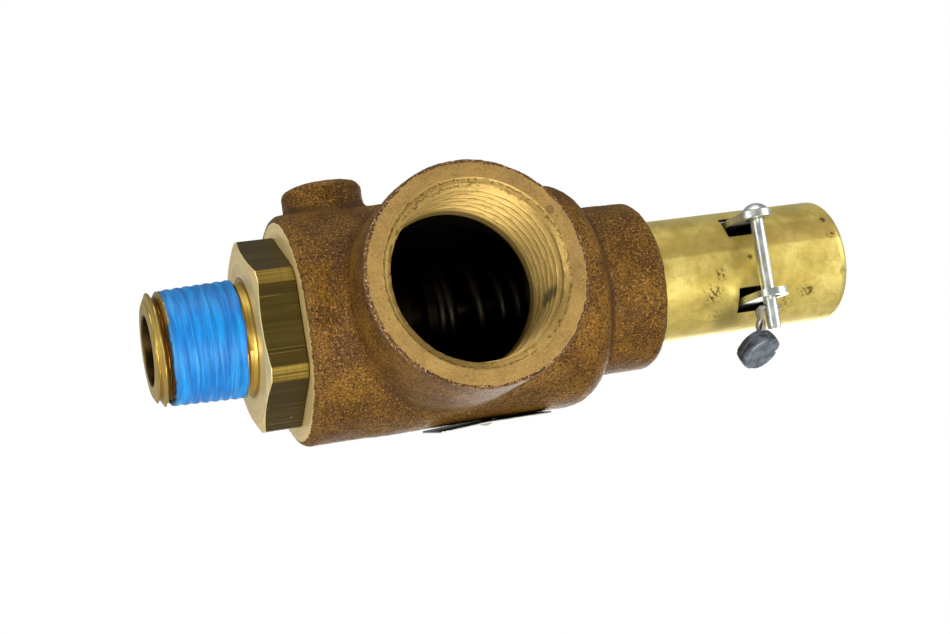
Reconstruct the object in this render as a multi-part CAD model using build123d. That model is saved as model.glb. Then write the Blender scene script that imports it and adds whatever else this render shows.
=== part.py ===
from build123d import *
import os
from math import cos, radians, sin, sqrt

# Pressure relief valve, 1/2 in NPT male inlet by 1 in NPT female side outlet.
# Millimetres. The valve axis is +Z from the inlet to the cap, the origin is the centre of the
# inlet's end face, the outlet faces -Y and the hand lever hangs behind the valve, at +Y.

# ---- body casting ----
outlet_height = 52.8          # outlet axis above the inlet end
outlet_reach = 34.4           # valve axis to the machined outlet face
barrel_radius = 21.5
barrel_bottom = 25.4
barrel_bottom_rounding = 1.5
shoulder_top = 83.2
shoulder_rounding = 5.8
neck_radius = 16.35
neck_top = 95.5
neck_rounding = 1.6
neck_root_rounding = 0.9
outlet_boss_radius = 20.1
outlet_rim_rounding = 0.5
outlet_root_rounding = 3.0
outlet_thread_radius = 15.15
outlet_thread_end = 18.4      # distance of the thread's inner end from the valve axis
outlet_passage_radius = 14.7
outlet_chamfer_radius = 16.8
side_boss_radius = 7.6
side_boss_height = 36.4
side_boss_reach = 26.3
side_boss_rounding = 1.3
side_boss_root_rounding = 1.2
chamber_radius = 17.6
chamber_floor = 38.0
chamber_roof = 80.6
chamber_roof_rounding = 3.0
neck_floor = 88.0
neck_buried = 5.0             # how far the neck reaches down into the barrel
run_on = 1.0                  # how far a cutter passes the face it opens

# ---- inlet nozzle ----
inlet_bore_radius = 6.35
inlet_face_radius = 8.6
inlet_lead_in = 1.6
inlet_thread_radius = 10.3
sealant_start = 3.0
sealant_end = 16.4
sealant_radius = 10.67
collar_radius = 10.1
hex_front = 17.9
hex_across_flats = 31.75
hex_turned_radius = 17.6
hex_chamfer = 1.3
hex_chamfer_height = 0.78
hex_angle = 3.5               # degrees that a corner stands off the X axis
shank_radius = 12.65
shank_top = 37.5
nozzle_top_radius = 9.0
nozzle_shoulder = 42.2
seat_height = 43.0
seat_bore_radius = 5.0
seat_rim_radius = 6.4
seat_land = 4.0               # length of the narrow bore under the seat
throat_start = 30.0

# ---- clearances ----
seat_gap = 0.05
thread_clearance = 0.05
slide_clearance = 0.07

# ---- disc, stem and spring ----
disc_radius = 9.3
disc_rim_bottom = 42.7
disc_flange_top = 47.0
disc_hub_radius = 5.5
disc_hub_top = 50.0
seat_disc_radius = 7.6
seat_disc_thickness = 1.8
washer_radius = 4.2
washer_thickness = 0.8
seat_screw_radius = 1.5
seat_screw_head_radius = 3.0
seat_screw_head_height = 1.6
seat_screw_head_rounding = 0.8
seat_screw_slot_width = 0.8
seat_screw_slot_depth = 0.8
seat_screw_top = 46.5
stem_radius = 2.4
stem_bottom = 47.2
stem_top = 127.5
stem_end_chamfer = 0.6
step_radius = 9.8
step_thickness = 1.8
step_pilot_radius = 6.5
step_pilot_height = 2.2
clip_radius = 3.9
clip_thickness = 0.8
clip_groove_depth = 0.5
clip_mouth = 2.6
spring_wire_radius = 1.3
spring_mean_radius = 8.3
spring_top = 76.0
spring_pitch = 4.05
spring_end_grind = 0.3        # share of the wire radius left on the ground ends

# ---- pressure adjustment ----
upper_step_thickness = 2.0
screw_nose_radius = 5.5
screw_nose_top = 80.0
screw_radius = 7.9
screw_shank_top = 98.0
screw_head_flats = 11.0
screw_head_rounding = 1.0
screw_lead_chamfer = 0.8
screw_top = 104.0
jam_nut_flats = 18.0
jam_nut_height = 4.5
jam_nut_corner_radius = 10.35
jam_nut_chamfer = 0.7
jam_nut_angle = 15.0

# ---- cap ----
cap_radius = 12.1
cap_wall = 1.3
cap_bottom = 88.6
cap_top = 136.6
cap_end_thickness = 2.4
cap_rounding = 2.0
cap_inner_rounding = 1.0
window_bottom = 112.2
window_top = 119.7
window_inner_x = 5.1
window_outer_x = 9.4
rear_window_bottom = 107.5
rear_window_top = 123.5

# ---- lifting gear ----
lift_nut_radius = 9.3
lift_nut_bottom = 117.3
lift_nut_height = 2.6
lift_nut_hub_radius = 5.0
lift_nut_hub_height = 1.6
lift_nut_chamfer = 0.6
lock_nut_flats = 8.0
lock_nut_height = 3.0
lock_nut_angle = 20.0
lever_thickness = 1.3
lever_half_width = 8.35
fulcrum_y = -9.95
fulcrum_z = 112.3
pin_y = -15.5
pin_z = 116.1
ear_radius = 3.3
ear_hole_radius = 1.85
tine_height = 3.2
hump_height = 4.75
hump_half_length = 1.2
hump_foot = 6.5               # distance from the valve axis to the foot of the hump
notch_depth = 0.1             # the tine's lower edge dips past the sill it rocks on
notch_start = 0.8
notch_end = 2.0
neck_rise = 0.6
handle_y = 15.65
handle_bend_z = 103.0
handle_out_y = 27.5
handle_out_z = 88.0
handle_low_y = 29.0
handle_low_z = 62.0
handle_tip_y = 34.0
handle_tip_z = 52.0
handle_tip_half_width = 6.0
handle_bend_radius = 6.0

# ---- lever pin and seal ----
pin_radius = 1.3
pin_head_radius = 2.65
pin_head_height = 1.6
pin_end_x = 14.6
pin_head_gap = 0.2            # pin head to the ear beside it
pin_end_chamfer = 0.2
pin_tilt = 3.0                # degrees; the pin sits askew in its loose holes
wire_hole_x = 10.2
wire_hole_radius = 0.62
wire_radius = 0.45
wire_loop_offset = 1.95       # pin axis to the wire that wraps the pin
wire_half_pitch = 0.6         # half the distance between the two strands
wire_bend_radius = 0.85
seal_radius = 4.0
seal_thickness = 3.4
seal_rounding = 0.9
seal_facing = (0.826, -0.533, 0.182)
seal_x = 17.9
seal_z = 111.0

# ---- nameplate ----
plate_length = 22.3
plate_width = 14.0
plate_thickness = 0.3
plate_gap = 0.05
plate_centre_z = 61.3
plate_angle = 8.0             # degrees that the plate sits round the barrel from +X towards +Y
plate_corner_rounding = 1.5
plate_bend_length = 9.2
plate_bend_angle = 3.5
rivet_radius = 1.2
rivet_head_radius = 1.6
rivet_head_height = 0.9
rivet_depth = 3.0
rivet_end_gap = 0.2

cap_bore_radius = cap_radius - cap_wall
seat_disc_bottom = seat_height + seat_gap
seat_disc_top = seat_disc_bottom + seat_disc_thickness
lower_step_bottom = disc_hub_top
spring_bottom = lower_step_bottom + step_thickness
upper_step_top = spring_top + upper_step_thickness
screw_bottom = upper_step_top + seat_gap
screw_bore_radius = stem_radius + slide_clearance
tine_inner_x = lever_half_width - lever_thickness


def rod(radius, bottom, top):
    """A cylinder along Z between two heights."""
    low = (Align.CENTER, Align.CENTER, Align.MIN)
    return Pos(0, 0, bottom) * Cylinder(radius, top - bottom, align=low)


def rod_along(radius, origin, direction, length):
    """A cylinder that starts at a point and runs along a direction."""
    start = Plane(origin=origin, z_dir=direction)
    return extrude(start * Circle(radius), length)


def turned(*profile):
    """A solid turned about Z from a closed outline of (radius, height) points."""
    return revolve(Plane.XZ * make_face(Polyline(*profile, close=True)), Axis.Z)


def dome(radius, rise):
    """A spherical cap that stands on the XY plane, turned about Z."""
    ball_radius = (radius ** 2 + rise ** 2) / (2 * rise)
    middle = (radius * 0.55, rise - ball_radius + sqrt(ball_radius ** 2 - (radius * 0.55) ** 2))
    outline = ThreePointArc((radius, 0), middle, (0, rise)) + Polyline((0, rise), (0, 0), (radius, 0))
    return revolve(Plane.XZ * make_face(outline), Axis.Z)


def hexagon(across_flats, bottom, top, angle=0.0):
    outline = RegularPolygon(across_flats / 2, 6, major_radius=False, rotation=angle)
    return extrude(Pos(0, 0, bottom) * outline, top - bottom)


def circles_at(solid, height):
    """The edges of a solid that lie flat at one height."""
    return solid.edges().filter_by(GeomType.CIRCLE).filter_by_position(Axis.Z, height, height)


def edge_at(solid, point):
    """The edge of a solid that runs through a point."""
    return solid.edges().sort_by_distance(point)[0]


def body_outside():
    barrel = rod(barrel_radius, barrel_bottom, shoulder_top)
    barrel = fillet(circles_at(barrel, shoulder_top), shoulder_rounding)
    barrel = fillet(circles_at(barrel, barrel_bottom), barrel_bottom_rounding)
    neck = rod(neck_radius, shoulder_top - neck_buried, neck_top)
    neck = fillet(circles_at(neck, neck_top), neck_rounding)
    outlet = rod_along(outlet_boss_radius, (0, 0, outlet_height), (0, -1, 0), outlet_reach)
    outlet = fillet(outlet.edges().sort_by(Axis.Y)[0], outlet_rim_rounding)
    side = rod_along(side_boss_radius, (0, 0, side_boss_height), (-1, 0, 0), side_boss_reach)
    side = fillet(side.edges().sort_by(Axis.X)[0], side_boss_rounding)
    body = barrel + neck + outlet + side
    side_root = (-barrel_radius, 0, side_boss_height + side_boss_radius)
    body = fillet(edge_at(body, side_root), side_boss_root_rounding)
    body = fillet(edge_at(body, (-neck_radius, 0, shoulder_top)), neck_root_rounding)
    outlet_root = (0, -barrel_radius, outlet_height + outlet_boss_radius)
    return fillet(edge_at(body, outlet_root), outlet_root_rounding)


def body_inside():
    nozzle_bore = rod(shank_radius + thread_clearance, barrel_bottom - run_on, chamber_floor + run_on)
    chamber = rod(chamber_radius, chamber_floor, chamber_roof)
    chamber = fillet(circles_at(chamber, chamber_roof), chamber_roof_rounding)
    screw_bore = rod(screw_radius + thread_clearance, chamber_roof - run_on, neck_floor + run_on)
    cap_bore = rod(cap_radius + thread_clearance, neck_floor, neck_top + run_on)
    axis = (0, 0, outlet_height)
    passage = rod_along(outlet_passage_radius, axis, (0, -1, 0), outlet_reach)
    thread_start = (0, -outlet_thread_end, outlet_height)
    thread = rod_along(outlet_thread_radius, thread_start, (0, -1, 0), outlet_reach)
    depth = outlet_chamfer_radius - outlet_thread_radius
    mouth = Plane(origin=(0, -outlet_reach + depth, outlet_height), z_dir=(0, -1, 0))
    chamfer_cone = mouth * Cone(outlet_thread_radius, outlet_chamfer_radius + run_on, depth + run_on,
                                align=(Align.CENTER, Align.CENTER, Align.MIN))
    return nozzle_bore + chamber + screw_bore + cap_bore + passage + thread + chamfer_cone


def body_casting():
    rivet_hole_start = (barrel_radius - rivet_depth, 0, plate_centre_z)
    rivet_hole = Rot(0, 0, plate_angle) * rod_along(
        rivet_radius, rivet_hole_start, (1, 0, 0), 2 * rivet_depth)
    return body_outside() - body_inside() - rivet_hole


def inlet_nozzle():
    outline = turned(
        (inlet_bore_radius, 0),
        (inlet_face_radius, 0),
        (inlet_thread_radius, inlet_lead_in),
        (inlet_thread_radius, sealant_end),
        (collar_radius, sealant_end),
        (collar_radius, hex_front),
        (shank_radius, hex_front),
        (shank_radius, shank_top),
        (nozzle_top_radius, shank_top),
        (nozzle_top_radius, nozzle_shoulder),
        (seat_rim_radius, nozzle_shoulder),
        (seat_rim_radius, seat_height),
        (seat_bore_radius, seat_height),
        (seat_bore_radius, seat_height - seat_land),
        (inlet_bore_radius, throat_start),
    )
    hex_block = hexagon(hex_across_flats, hex_front, barrel_bottom, hex_angle)
    turned_blank = chamfer(
        circles_at(rod(hex_turned_radius, hex_front, barrel_bottom), hex_front),
        hex_chamfer_height, hex_chamfer)
    hex_block = hex_block & turned_blank
    return outline + (hex_block - rod(shank_radius - run_on, hex_front, barrel_bottom))


def thread_sealant():
    sleeve = rod(sealant_radius, sealant_start, sealant_end)
    return sleeve - rod(inlet_thread_radius, sealant_start, sealant_end)


def disc_holder():
    flange = rod(disc_radius, disc_rim_bottom, disc_flange_top)
    hub = rod(disc_hub_radius, disc_flange_top, disc_hub_top)
    recess = rod(seat_disc_radius, disc_rim_bottom, seat_disc_top)
    screw_hole = rod(seat_screw_radius, seat_disc_top, seat_screw_top)
    stem_hole = rod(stem_radius, stem_bottom, disc_hub_top)
    return flange + hub - recess - screw_hole - stem_hole


def seat_disc():
    return rod(seat_disc_radius, seat_disc_bottom, seat_disc_top) - rod(
        seat_screw_radius, seat_disc_bottom, seat_disc_top)


def seat_washer():
    bottom = seat_disc_bottom - washer_thickness
    return rod(washer_radius, bottom, seat_disc_bottom) - rod(
        seat_screw_radius, bottom, seat_disc_bottom)


def seat_screw():
    head_top = seat_disc_bottom - washer_thickness
    head_bottom = head_top - seat_screw_head_height
    head = rod(seat_screw_head_radius, head_bottom, head_top)
    head = fillet(circles_at(head, head_bottom), seat_screw_head_rounding)
    slot = Pos(0, 0, head_bottom) * Box(
        3 * seat_screw_head_radius, seat_screw_slot_width, 2 * seat_screw_slot_depth)
    return head - slot + rod(seat_screw_radius, head_top, seat_screw_top)


def clip_bottom():
    return spring_bottom + step_pilot_height


def valve_stem():
    stem = rod(stem_radius, stem_bottom, stem_top)
    stem = chamfer(circles_at(stem, stem_top), stem_end_chamfer)
    groove_top = clip_bottom() + clip_thickness
    groove = rod(stem_radius + run_on, clip_bottom(), groove_top) - rod(
        stem_radius - clip_groove_depth, clip_bottom(), groove_top)
    return stem - groove


def stem_clip():
    top = clip_bottom() + clip_thickness
    ring = rod(clip_radius, clip_bottom(), top)
    bore = rod(stem_radius - clip_groove_depth, clip_bottom(), top)
    mouth = Pos(clip_radius / 2, 0, clip_bottom()) * Box(
        clip_radius, clip_mouth, clip_thickness, align=(Align.CENTER, Align.CENTER, Align.MIN))
    return ring - bore - mouth


def lower_spring_step():
    plate = rod(step_radius, lower_step_bottom, spring_bottom)
    pilot = rod(step_pilot_radius, spring_bottom, spring_bottom + step_pilot_height)
    return plate + pilot - rod(stem_radius, lower_step_bottom, spring_bottom + step_pilot_height)


def upper_spring_step():
    plate = rod(step_radius, spring_top, upper_step_top)
    pilot = rod(step_pilot_radius, spring_top - step_pilot_height, spring_top)
    return plate + pilot - rod(screw_bore_radius, spring_top - step_pilot_height, upper_step_top)


def spring():
    """Round-wire spring with its ends ground flat."""
    sunk = spring_end_grind * spring_wire_radius
    height = spring_top - spring_bottom - 2 * sunk
    route = Pos(0, 0, spring_bottom + sunk) * Helix(spring_pitch, height, spring_mean_radius)
    section = Plane(route @ 0, z_dir=route % 0) * Circle(spring_wire_radius)
    coil = sweep(section, route, is_frenet=True)
    return coil & rod(2 * step_radius, spring_bottom, spring_top)


def compression_screw():
    nose = rod(screw_nose_radius, screw_bottom, screw_nose_top)
    shank = rod(screw_radius, screw_nose_top, screw_shank_top)
    shank = chamfer(circles_at(shank, screw_nose_top), screw_lead_chamfer)
    head = Pos(0, 0, screw_shank_top) * extrude(
        Rectangle(screw_head_flats, screw_head_flats), screw_top - screw_shank_top)
    head = fillet(head.edges().filter_by(Axis.Z), screw_head_rounding)
    return nose + shank + head - rod(screw_bore_radius, screw_bottom, screw_top)


def jam_nut():
    top = neck_floor + jam_nut_height
    nut = hexagon(jam_nut_flats, neck_floor, top, jam_nut_angle)
    blank = chamfer(circles_at(rod(jam_nut_corner_radius, neck_floor, top), top), jam_nut_chamfer)
    return (nut & blank) - rod(screw_radius + thread_clearance, neck_floor, top)


def cap_windows():
    """Two straight slots for the lever's tines, taller behind, where the lever swings."""
    width = window_outer_x - window_inner_x
    middle = (window_inner_x + window_outer_x) / 2
    slots = []
    for side in (-1, 1):
        front = Pos(side * middle, -cap_radius / 2, (window_bottom + window_top) / 2) * Box(
            width, cap_radius, window_top - window_bottom)
        rear = Pos(side * middle, cap_radius / 2, (rear_window_bottom + rear_window_top) / 2) * Box(
            width, cap_radius, rear_window_top - rear_window_bottom)
        slots += [front, rear]
    return slots


def cap():
    shell = rod(cap_radius, cap_bottom, cap_top)
    shell = fillet(circles_at(shell, cap_top), cap_rounding)
    hollow = rod(cap_bore_radius, cap_bottom, cap_top - cap_end_thickness)
    hollow = fillet(circles_at(hollow, cap_top - cap_end_thickness), cap_inner_rounding)
    shell = shell - hollow
    for slot in cap_windows():
        shell = shell - slot
    return shell


def lift_nut():
    flange_top = lift_nut_bottom + lift_nut_height
    flange = rod(lift_nut_radius, lift_nut_bottom, flange_top)
    flange = chamfer(circles_at(flange, flange_top), lift_nut_chamfer)
    hub = rod(lift_nut_hub_radius, flange_top, flange_top + lift_nut_hub_height)
    return flange + hub - rod(stem_radius, lift_nut_bottom, flange_top + lift_nut_hub_height)


def lift_lock_nut():
    bottom = lift_nut_bottom + lift_nut_height + lift_nut_hub_height
    nut = hexagon(lock_nut_flats, bottom, bottom + lock_nut_height, lock_nut_angle)
    return nut - rod(stem_radius, bottom, bottom + lock_nut_height)


def tine():
    """One side of the fork: ear, sill notch, cam hump under the lift nut, root at the handle."""
    top = fulcrum_z + tine_height
    hump = fulcrum_z + hump_height
    back = handle_y + lever_thickness / 2
    strip = Polyline(
        (pin_y, pin_z - ear_radius),
        (fulcrum_y - notch_end, fulcrum_z - notch_depth),
        (fulcrum_y - notch_start, fulcrum_z),
        (back, fulcrum_z),
        (back, top),
        (hump_foot, top),
        (hump_half_length, hump),
        (-hump_half_length, hump),
        (-hump_foot, top),
        (fulcrum_y, top + neck_rise),
        (pin_y, pin_z + ear_radius),
        close=True)
    outline = make_face(strip) + Pos(pin_y, pin_z) * Circle(ear_radius)
    outline = outline - Pos(pin_y, pin_z) * Circle(ear_hole_radius)
    return extrude(Plane.YZ * outline, lever_thickness)


def handle():
    """The strip that joins the tines and hangs behind the valve, with a rounded, flared tip."""
    route = FilletPolyline(
        (handle_y, fulcrum_z + tine_height),
        (handle_y, handle_bend_z),
        (handle_out_y, handle_out_z),
        (handle_low_y, handle_low_z),
        (handle_tip_y, handle_tip_z),
        radius=handle_bend_radius)
    section = trace(route, lever_thickness)
    strip = extrude(Plane.YZ * section, lever_half_width, both=True)
    tip_centre_z = handle_tip_z + handle_tip_half_width - lever_thickness / 2
    top = fulcrum_z + tine_height
    waist = make_face(Polyline(
        (-lever_half_width, top),
        (lever_half_width, top),
        (lever_half_width, handle_out_z),
        (handle_tip_half_width, tip_centre_z),
        (-handle_tip_half_width, tip_centre_z),
        (-lever_half_width, handle_out_z),
        close=True))
    front = waist + Pos(0, tip_centre_z) * Circle(handle_tip_half_width)
    return strip & extrude(Plane.XZ * front, -2 * handle_tip_y)


def lift_lever():
    right = Pos(tine_inner_x, 0, 0) * tine()
    left = Pos(-lever_half_width, 0, 0) * tine()
    return right + left + handle()


def on_pin(x, y=0.0, z=0.0):
    """A point given along the askew pin's axis from the valve's mid-plane, and beside it."""
    tilt = radians(pin_tilt)
    return (x * cos(tilt) + z * sin(tilt), pin_y + y, pin_z - x * sin(tilt) + z * cos(tilt))


def pin_direction():
    return (cos(radians(pin_tilt)), 0, -sin(radians(pin_tilt)))


def lever_pin():
    head_x = -lever_half_width - pin_head_gap
    shank = rod_along(pin_radius, on_pin(head_x), pin_direction(), pin_end_x - head_x)
    shank = chamfer(shank.edges().sort_by(Axis.X)[-1], pin_end_chamfer)
    head = dome(pin_head_radius, pin_head_height)
    head = Pos(on_pin(head_x)) * Rot(0, pin_tilt - 90, 0) * head
    across = (sin(radians(pin_tilt)), 0, cos(radians(pin_tilt)))
    hole_start = on_pin(wire_hole_x, 0, -2 * pin_radius)
    hole = rod_along(wire_hole_radius, hole_start, across, 4 * pin_radius)
    return shank + head - hole


def wire_route():
    """Out of the seal, through the pin's cross hole, round behind the pin and back."""
    return FilletPolyline(
        (16.9, pin_y - wire_half_pitch, 112.5),
        (12.8, pin_y - wire_half_pitch, 112.7),
        on_pin(wire_hole_x, 0, -2.6),
        on_pin(wire_hole_x, 0, wire_loop_offset),
        on_pin(wire_hole_x, wire_loop_offset, wire_loop_offset),
        on_pin(wire_hole_x, wire_loop_offset, -wire_loop_offset),
        (12.6, pin_y + wire_half_pitch, 112.3),
        (17.1, pin_y + wire_half_pitch, 111.8),
        radius=wire_bend_radius)


def seal_wire():
    route = wire_route()
    section = Plane(route @ 0, z_dir=route % 0) * Circle(wire_radius)
    return sweep(section, route)


def lead_seal():
    """A lead disc pressed flat on the two wire ends."""
    facing = Plane(origin=(seal_x, pin_y, seal_z), z_dir=seal_facing)
    disc = facing * Cylinder(seal_radius, seal_thickness)
    disc = fillet(disc.edges().filter_by(GeomType.CIRCLE), seal_rounding)
    return disc - seal_wire()


def nameplate():
    inner = barrel_radius + plate_gap
    low_end = plate_centre_z - plate_length / 2
    lip = plate_bend_length * sin(radians(plate_bend_angle))
    side = Polyline(
        (inner, low_end + plate_length),
        (inner, low_end + plate_bend_length),
        (inner + lip, low_end),
        (inner + lip + plate_thickness, low_end),
        (inner + plate_thickness, low_end + plate_bend_length),
        (inner + plate_thickness, low_end + plate_length),
        close=True)
    plate = extrude(Plane.XZ * make_face(side), plate_width / 2, both=True)
    corners = extrude(
        Plane.YZ * Pos(0, plate_centre_z) * RectangleRounded(
            plate_width, plate_length, plate_corner_rounding), 2 * barrel_radius)
    hole = rod_along(rivet_radius, (inner - run_on, 0, plate_centre_z), (1, 0, 0), rivet_depth)
    return Rot(0, 0, plate_angle) * ((plate & corners) - hole)


def nameplate_rivet():
    outside = barrel_radius + plate_gap + plate_thickness
    start = (barrel_radius - rivet_depth + rivet_end_gap, 0, plate_centre_z)
    shank = rod_along(rivet_radius, start, (1, 0, 0), outside - start[0])
    head = dome(rivet_head_radius, rivet_head_height)
    head = Pos(outside, 0, plate_centre_z) * Rot(0, 90, 0) * head
    return Rot(0, 0, plate_angle) * (shank + head)


parts = {
    "body_casting": body_casting,
    "inlet_nozzle": inlet_nozzle,
    "thread_sealant": thread_sealant,
    "disc_holder": disc_holder,
    "seat_disc": seat_disc,
    "seat_washer": seat_washer,
    "seat_screw": seat_screw,
    "valve_stem": valve_stem,
    "stem_clip": stem_clip,
    "lower_spring_step": lower_spring_step,
    "spring": spring,
    "upper_spring_step": upper_spring_step,
    "compression_screw": compression_screw,
    "jam_nut": jam_nut,
    "cap": cap,
    "lift_nut": lift_nut,
    "lift_lock_nut": lift_lock_nut,
    "lift_lever": lift_lever,
    "lever_pin": lever_pin,
    "seal_wire": seal_wire,
    "lead_seal": lead_seal,
    "nameplate": nameplate,
    "nameplate_rivet": nameplate_rivet,
}

os.makedirs("parts", exist_ok=True)
for name, make in parts.items():
    export_step(make(), f"parts/{name}.step")
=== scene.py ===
from math import cos, pi, radians, sin

import bmesh
import bpy
import numpy as np
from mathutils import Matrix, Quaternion, Vector


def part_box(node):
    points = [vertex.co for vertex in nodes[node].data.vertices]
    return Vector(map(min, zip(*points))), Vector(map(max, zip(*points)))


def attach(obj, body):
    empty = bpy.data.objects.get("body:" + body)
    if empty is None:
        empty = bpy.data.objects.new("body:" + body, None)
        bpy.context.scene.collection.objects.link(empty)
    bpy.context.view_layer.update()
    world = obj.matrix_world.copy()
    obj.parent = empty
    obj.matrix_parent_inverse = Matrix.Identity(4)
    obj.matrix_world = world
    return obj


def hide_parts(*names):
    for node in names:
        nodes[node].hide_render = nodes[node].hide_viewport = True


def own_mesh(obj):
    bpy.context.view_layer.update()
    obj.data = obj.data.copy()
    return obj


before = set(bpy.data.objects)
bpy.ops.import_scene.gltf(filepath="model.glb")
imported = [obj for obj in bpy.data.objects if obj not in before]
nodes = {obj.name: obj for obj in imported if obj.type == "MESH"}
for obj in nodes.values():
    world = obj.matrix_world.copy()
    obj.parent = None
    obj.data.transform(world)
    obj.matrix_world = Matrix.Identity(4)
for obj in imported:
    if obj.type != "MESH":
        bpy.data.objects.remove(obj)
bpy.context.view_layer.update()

MM = 0.001

# Lengths are in millimetres in the row frame; meshes are scaled to metres when made. The valve stands
# on its inlet: Z runs up the axis to the cap and the outlet faces -Y.
PIPE_TAPER = 1 / 32             # growth of a pipe thread's radius per length

OUTLET_HEIGHT = 52.8
OUTLET_FACE = 34.4              # from the axis to the outlet's face
OUTLET_PITCH = 2.209
OUTLET_CREST = 15.02            # radius of the thread's crest at the face
OUTLET_THREAD = 16.0            # depth of the thread
CHAMFER_RADIUS = 16.8
FACE_RADIUS = 19.84
OUTLET_CENTRE = (0, 0, OUTLET_HEIGHT)

BODY_BOTTOM = 25.43
BOTTOM_RADIUS = 20.2
BODY_SEAT_RADIUS = 12.7         # hole for the inlet fitting

INLET_BORE = 6.35
INLET_PITCH = 1.814
INLET_CREST = 10.34             # radius of the thread's crest at the inlet's end
INLET_THREAD = 16.4             # height where the thread ends

HEX_ANGLE = 3.5
HEX_HALF_FLATS = 15.875
HEX_TURNED = 17.6               # radius that the corners are turned to
HEX_BOTTOM = 17.9
HEX_TOP = 25.38

PLATE_ANGLE = radians(8)        # direction that the nameplate faces, from +X
PLATE_BEND_HEIGHT = 59.35       # below this the nameplate flares outward
PLATE_FLARE = radians(3.5)

WINDOW_WALL = (12.7, 15.0)      # radii between which the lever's tines come out of the cap's shade
# colour of the scuffs on the cap and of its painted window shadow
SCUFF_AND_SHADOW_COLOR = (52, 46, 34)

rng = np.random.default_rng(41)
lattice = rng.random((32, 32, 32))


def noise(points, scale, seed=0):
    """Smooth lattice noise from -1 to 1 at points (n, 3) in mm; scale is the size of a lump in mm."""
    q = points / scale + seed * 7.31
    base = np.floor(q).astype(int)
    f = q - base
    f = f * f * (3 - 2 * f)
    total = 0
    for dx in (0, 1):
        for dy in (0, 1):
            for dz in (0, 1):
                w = np.where(dx, f[:, 0], 1 - f[:, 0])
                w = w * np.where(dy, f[:, 1], 1 - f[:, 1])
                w = w * np.where(dz, f[:, 2], 1 - f[:, 2])
                total = total + w * lattice[
                    (base[:, 0] + dx) % 32, (base[:, 1] + dy) % 32, (base[:, 2] + dz) % 32]
    return 2 * total - 1


def smooth(value, low, high):
    t = np.clip((value - low) / (high - low), 0, 1)
    return t * t * (3 - 2 * t)


# ---------------------------------------------------------------- materials

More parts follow.
